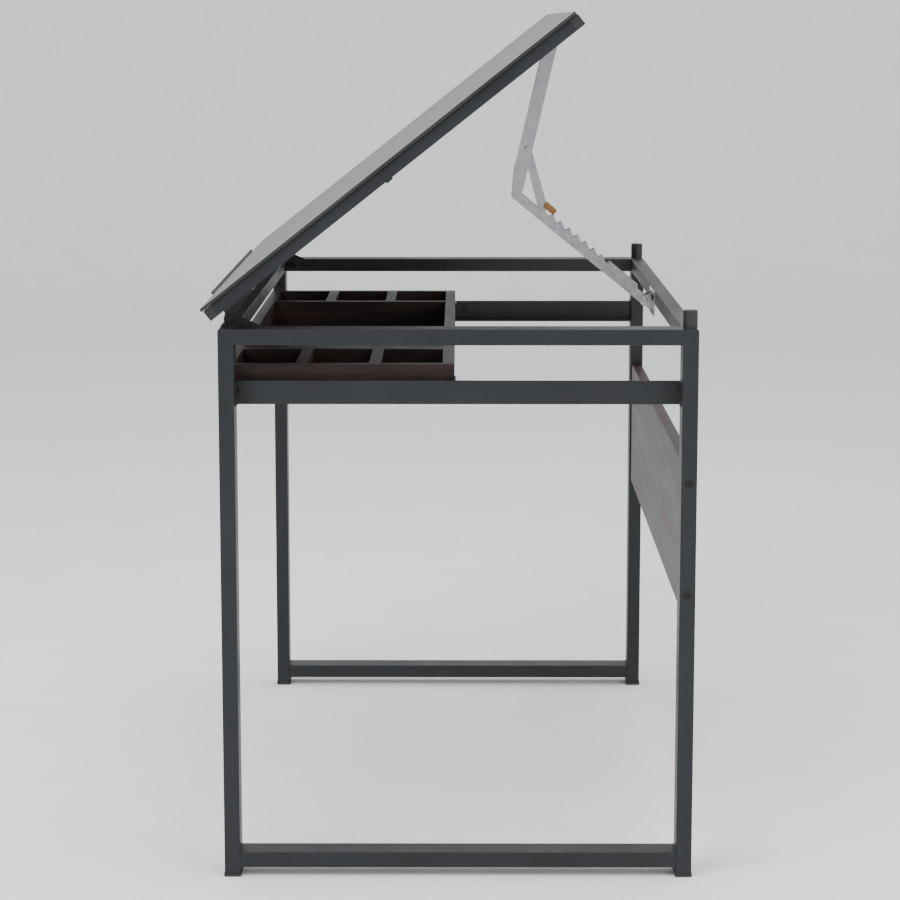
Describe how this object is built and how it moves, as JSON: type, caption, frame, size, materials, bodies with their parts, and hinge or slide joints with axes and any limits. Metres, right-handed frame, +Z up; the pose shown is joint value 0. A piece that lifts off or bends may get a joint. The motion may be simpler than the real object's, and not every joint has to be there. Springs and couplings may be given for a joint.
{
  "type": "drafting table",
  "caption": "Steel-framed drafting table with a tilting board, ratchet support, divided wooden tray and rear panel.",
  "frame": {"origin": "floor point under the middle of the whole object", "axes": "+X to the right end, +Y to the rear, +Z up"},
  "size_m": [1.056, 0.626, 1.0984],
  "materials": {
    "charcoal_steel": "fine powder coat",
    "walnut": "satin dark walnut",
    "brown_panel": "satin dark brown",
    "grey_board": "matte laminate",
    "black_edge": "satin edge band",
    "black_plastic": "moulded",
    "black_rubber": "matte rubber",
    "zinc": "zinc plated",
    "bronze": "satin bronze",
    "dark_fastener": "black oxide"
  },
  "bodies": {
    "table": {"base_bracket": "zinc", "base_bracket_screws": "dark_fastener", "base_pin": "zinc", "cross_rail_bolts": "dark_fastener", "foot_glides": "black_plastic", "front_cross_rail": "charcoal_steel", "hinge_base_left": "charcoal_steel", "hinge_base_right": "charcoal_steel", "hinge_pins": "dark_fastener", "hinge_screws": "dark_fastener", "left_bottom_rail": "charcoal_steel", "left_front_leg": "charcoal_steel", "left_rear_leg": "charcoal_steel", "left_top_rail": "charcoal_steel", "rear_bumpers": "black_rubber", "rear_cross_rail": "charcoal_steel", "rear_panel": "brown_panel", "rear_panel_bolts": "dark_fastener", "right_bottom_rail": "charcoal_steel", "right_front_leg": "charcoal_steel", "right_rear_leg": "charcoal_steel", "right_top_rail": "charcoal_steel", "tray_back": "walnut", "tray_brackets": "charcoal_steel", "tray_floor": "walnut", "tray_front": "walnut", "tray_left_dividers": "walnut", "tray_left_partition": "walnut", "tray_left_wall": "walnut", "tray_rail_left": "charcoal_steel", "tray_rail_right": "charcoal_steel", "tray_rail_screws": "dark_fastener", "tray_right_dividers": "walnut", "tray_right_partition": "walnut", "tray_right_wall": "walnut", "tray_screws": "dark_fastener"},
    "board": {"board_edge_band": "black_edge", "board_end_caps": "black_plastic", "board_lower_bar": "charcoal_steel", "board_middle_bar": "charcoal_steel", "board_pads": "black_rubber", "board_rail_left": "charcoal_steel", "board_rail_right": "charcoal_steel", "board_rail_screws": "dark_fastener", "board_top": "grey_board", "board_upper_bar": "charcoal_steel", "hinge_leaf_left": "charcoal_steel", "hinge_leaf_right": "charcoal_steel", "leaf_screws": "dark_fastener", "ledge_screws": "dark_fastener", "pencil_ledge": "charcoal_steel", "top_bracket": "zinc", "top_pin": "zinc"},
    "lower_arm": {"lower_arm": "zinc", "rack": "zinc"},
    "upper_arm": {"upper_arm": "zinc", "elbow_rivets": "zinc", "pawl_pin": "zinc"},
    "pawl": {"pawl": "zinc", "pawl_clip": "bronze"}
  },
  "joints": [
    {"name": "board_tilt", "type": "hinge", "parent": "table", "child": "board", "pos_m": [0, -0.27497, 0.717], "axis": [1, 0, 0], "range_deg": [-38.25, 0]},
    {"name": "lower_arm_swing", "type": "hinge", "parent": "table", "child": "lower_arm", "pos_m": [0, 0.27903, 0.6915], "axis": [1, 0, 0], "range_deg": [-0.3, 34.85]},
    {"name": "upper_arm_swing", "type": "hinge", "parent": "board", "child": "upper_arm", "pos_m": [0, 0.14894, 1.07347], "axis": [1, 0, 0], "range_deg": [-33.13, 0.3]},
    {"name": "pawl_swing", "type": "hinge", "parent": "upper_arm", "child": "pawl", "pos_m": [0, 0.11009, 0.90818], "axis": [1, 0, 0], "range_deg": [-0.3, 138.83]}
  ],
  "couplings": [
    {"joint": "lower_arm_swing", "follows": "board_tilt", "ratio": -0.90217},
    {"joint": "upper_arm_swing", "follows": "board_tilt", "ratio": 0.85765},
    {"joint": "pawl_swing", "follows": "board_tilt", "ratio": -3.5936}
  ]
}
